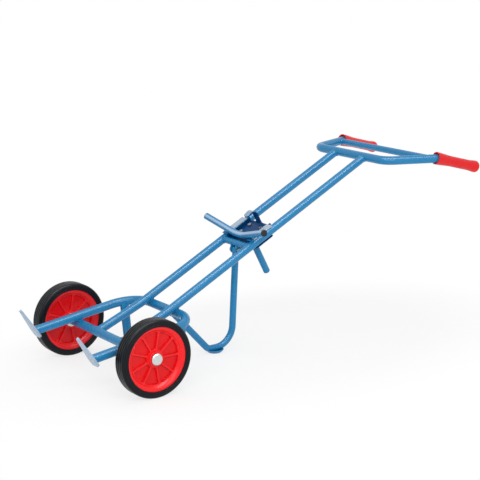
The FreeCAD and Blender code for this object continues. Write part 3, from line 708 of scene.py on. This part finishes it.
def saddle(carrier, branch):
    """Closed line where a branch tube's outside meets a carrier tube.
    Each tube is a point on its line, its direction and its radius."""
    (hold, run, reach), out = carrier, branch[1]
    slant = out - run * out.dot(run)
    loop = []
    for start in ring_about(*branch):
        gap = (start - hold) - run * (start - hold).dot(run)
        half = slant.dot(gap)
        inside = max(half * half - slant.dot(slant) * (gap.dot(gap) - reach * reach), 0.0)
        loop.append(start + out * ((math.sqrt(inside) - half) / slant.dot(slant)))
    return loop


def crossing(low, high):
    """Closed line round the spot where one tube lies across another."""
    (hold, run, reach), (root, out, radius) = low, high
    gap = root - hold
    up = run.cross(out).normalized()
    up = up if gap.dot(up) > 0 else -up
    slant = out - run * out.dot(run)
    meet = root - out * (gap - run * gap.dot(run)).dot(slant) / slant.dot(slant)
    spot = meet - up * radius
    loop = []
    for turn in loop_turns:
        a, b = crossing_spread * math.cos(turn), crossing_spread * math.sin(turn)
        # Halfway between the two tubes' sides, which curve away from the spot up and down.
        level = (a * a / radius - b * b / reach) / 4
        loop.append(spot + run * a + run.cross(up) * b + up * level)
    return loop


def cut_end(tube, spot, normal):
    """Closed line where a tube's outside meets a flat plate."""
    out = tube[1]
    return [start + out * ((spot - start).dot(normal) / out.dot(normal)) for start in ring_about(*tube)]


main_radius = half_size("axle_tube").z
slim_radius = half_size("rail_cross_tube").z
rail_radius = half_size("rail_left").y
rail_y = node_middle("rail_right").y
cross_middle = node_middle("rail_cross_tube")
bar_middle = node_middle("handle_cross_bar")
base_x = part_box("handle_loop")[0].x + main_radius
rail_end = cross_middle + rail_up * ((base_x - cross_middle.x) / rail_up.x)
axle_middle = Vector((axle_x, 0, axle_z))
toe_along = in_side_view(toe_slope)
toe_over_axle = axle_middle + in_side_view(toe_slope + math.pi / 2) * 2 * main_radius
toe_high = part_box("toe_frame")[1]
prong_y = toe_high.y - main_radius
toe_back = toe_over_axle + toe_along * ((toe_high.x - main_radius - toe_over_axle.x) / toe_along.x)
axle_line = (axle_middle, across_frame, main_radius)
base_line = (rail_end, across_frame, main_radius)
toe_line = (toe_back, across_frame, main_radius)
frame_beads = []
for side in (-1, 1):
    inward = across_frame * -side
    shift = across_frame * (side * rail_y)
    rail_line = (cross_middle + shift, rail_up, rail_radius)
    prong = (toe_over_axle + across_frame * (side * prong_y), toe_along, main_radius)
    toe_end = prong[0] - toe_along * toe_reach
    leg_out = Vector((math.cos(handle_splay), side * math.sin(handle_splay), 0))
    corner = Vector((rail_end.x, side * handle_half, rail_end.z))
    bar_end = corner + leg_out * ((bar_middle.x - corner.x) / leg_out.x)
    frame_beads += [
        saddle(axle_line, (axle_middle + shift, in_side_view(rail_foot_slope), rail_radius)),
        saddle(base_line, (rail_end + shift, -rail_up, rail_radius)),
        saddle(rail_line, (cross_middle + shift, inward, slim_radius)),
        crossing(toe_line, rail_line),
        crossing(axle_line, prong),
        cut_end(prong, toe_end, in_side_view(claw_lean)),
        saddle((corner, leg_out, main_radius), (bar_end, inward, slim_radius)),
    ]
lay_bars("weld_beads_frame", "frame", "blue_enamel", blue_enamel, frame_beads,
         radius=bead_radius, **ripples)

# Carriage welds: short finer beads that hold each strip to the pan, and one round the pull handle.
# They are run before the carriage is stoved, and lie under its blue enamel.
fine_bead_radius = 1.8 * mm
pull_rise = 60 * mm
plate_drop = 4.4 * mm
seam_lift = 0.4 * mm
# Millimetres along the seam: where each short bead starts, and the points that it runs through.
tack_starts = (16, 50, 84)
tack_points = (0, 8, 16)
pull_seat = cross_middle + rail_up * pull_rise - rail_normal * (rail_radius + plate_drop)
pull_bead = cut_end((pull_seat, -rail_normal, slim_radius), pull_seat, rail_normal)
seam_line = cross_middle + rail_normal * (rail_radius + seam_lift)
strip_runs = []
for side in ("left", "right"):
    low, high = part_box("glide_strip_" + side)
    inner = high.y if side == "left" else low.y
    for start in tack_starts:
        tack = [seam_line + rail_up * (start + along) * mm for along in tack_points]
        strip_runs.append([Vector((p.x, inner, p.z)) for p in tack])
lay_bars("weld_beads_carriage", "carriage", "blue_enamel", blue_enamel, [pull_bead], strip_runs,
         radius=fine_bead_radius, **ripples)

# Floor, light and camera: a plain white studio sweep that keeps a soft shadow under the wheels.
# Two soft lamps light the trolley from the front left and from above, a third shows only as the
# streak in its gloss, and the camera stands low off the toe end.
studio_white = "#FFFFFF"
floor_white = "#FAFAFA"
floor_half = 12.0
shadow_share = 0.27
shadow_near = 0.65
shadow_far = 1.25
shadow_squeeze = (1.0, 1.7, 1.0)
room_light = 0.6
room_white = 1.0


def seen_directly(tree):
    """1 for what the camera, gloss and glass see, and 0 for the light that falls on matt surfaces."""
    path = add(tree, "ShaderNodeLightPath")
    seen = path.outputs["Is Camera Ray"]
    for ray in ("Is Glossy Ray", "Is Transmission Ray"):
        seen = add(tree, "ShaderNodeMath", {"Value": seen, "Value_001": path.outputs[ray]},
                   operation="MAXIMUM").outputs["Value"]
    return seen


def white_stage(name):
    """Matt white floor: camera and gloss see it as white, with a soft shadow left near the object."""
    material, tree, place = new_material(name)
    oval = add(tree, "ShaderNodeMapping", {"Vector": place, "Scale": shadow_squeeze})
    out = add(tree, "ShaderNodeVectorMath", {"Vector": oval.outputs["Vector"]}, operation="LENGTH")
    fade = add(tree, "ShaderNodeMapRange", {
        "Value": out.outputs["Value"], "From Min": shadow_near, "From Max": shadow_far,
        "To Min": 1 - shadow_share, "To Max": 1.0}, interpolation_type="SMOOTHSTEP")
    share = add(tree, "ShaderNodeMath", {
        "Value": seen_directly(tree), "Value_001": fade.outputs["Result"]}, operation="MULTIPLY")
    lit = add(tree, "ShaderNodeBsdfDiffuse", {"Color": linear(floor_white)})
    glow = add(tree, "ShaderNodeEmission", {"Color": linear(studio_white), "Strength": room_white})
    stage = add(tree, "ShaderNodeMixShader", {
        "Fac": share.outputs["Value"], "Shader": lit.outputs["BSDF"],
        "Shader_001": glow.outputs["Emission"]})
    add(tree, "ShaderNodeOutputMaterial", {"Surface": stage.outputs["Shader"]})
    return material


floor_mesh = bpy.data.meshes.new("studio_floor")
corners = [(-floor_half, -floor_half, 0), (floor_half, -floor_half, 0),
           (floor_half, floor_half, 0), (-floor_half, floor_half, 0)]
floor_mesh.from_pydata(corners, [], [(0, 1, 2, 3)])
floor_mesh.materials.append(white_stage("matt white studio paint"))
floor = bpy.data.objects.new("studio_floor", floor_mesh)
bpy.context.collection.objects.link(floor)

world = bpy.data.worlds.new("white studio")
world.use_nodes = True
air_tree = world.node_tree
air_tree.nodes.clear()
sky = add(air_tree, "ShaderNodeMapRange", {
    "Value": seen_directly(air_tree), "To Min": room_light, "To Max": room_white})
air = add(air_tree, "ShaderNodeBackground", {
    "Color": linear(studio_white), "Strength": sky.outputs["Result"]})
add(air_tree, "ShaderNodeOutputWorld", {"Surface": air.outputs["Background"]})
bpy.context.scene.world = world


def soft_lamp(name, place, width, height, watts, lights_matt=True):
    """A wide area lamp that faces the trolley's middle.
    One that lights nothing matt shows only in gloss."""
    lamp = bpy.data.lights.new(name, "AREA")
    lamp.shape = "RECTANGLE"
    lamp.size = width
    lamp.size_y = height
    lamp.energy = watts
    made = bpy.data.objects.new(name, lamp)
    made.location = place
    aim = (cad_low + cad_high) / 2 - Vector(place)
    made.rotation_euler = aim.to_track_quat("-Z", "Y").to_euler()
    made.visible_diffuse = lights_matt
    bpy.context.collection.objects.link(made)


soft_lamp("front_strip_lamp", (-1.3, -2.3, 1.9), width=3.4, height=0.6, watts=43.0)
soft_lamp("streak_lamp", (-0.6, -1.15, 3.35), width=4.2, height=0.8, watts=140.0, lights_matt=False)
soft_lamp("overhead_lamp", (0.3, 0.2, 3.0), width=2.4, height=1.2, watts=9.0)

camera_place = Vector((axle_x - 2.1486, -3.7754, 1.4390))
camera_azimuth = math.radians(35.24)
camera_elevation = math.radians(-12.95)
camera_roll = math.radians(-0.27)
camera_data = bpy.data.cameras.new("photo_camera")
camera_data.lens = 104.7
camera_data.sensor_width = 36.0
camera = bpy.data.objects.new("photo_camera", camera_data)
camera_turn = (Matrix.Rotation(-camera_azimuth, 4, "Z")
               @ Matrix.Rotation(math.pi / 2 + camera_elevation, 4, "X")
               @ Matrix.Rotation(camera_roll, 4, "Z"))
camera.matrix_world = Matrix.Translation(camera_place) @ camera_turn
bpy.context.collection.objects.link(camera)
bpy.context.scene.camera = camera
bpy.context.scene.view_settings.view_transform = "Standard"
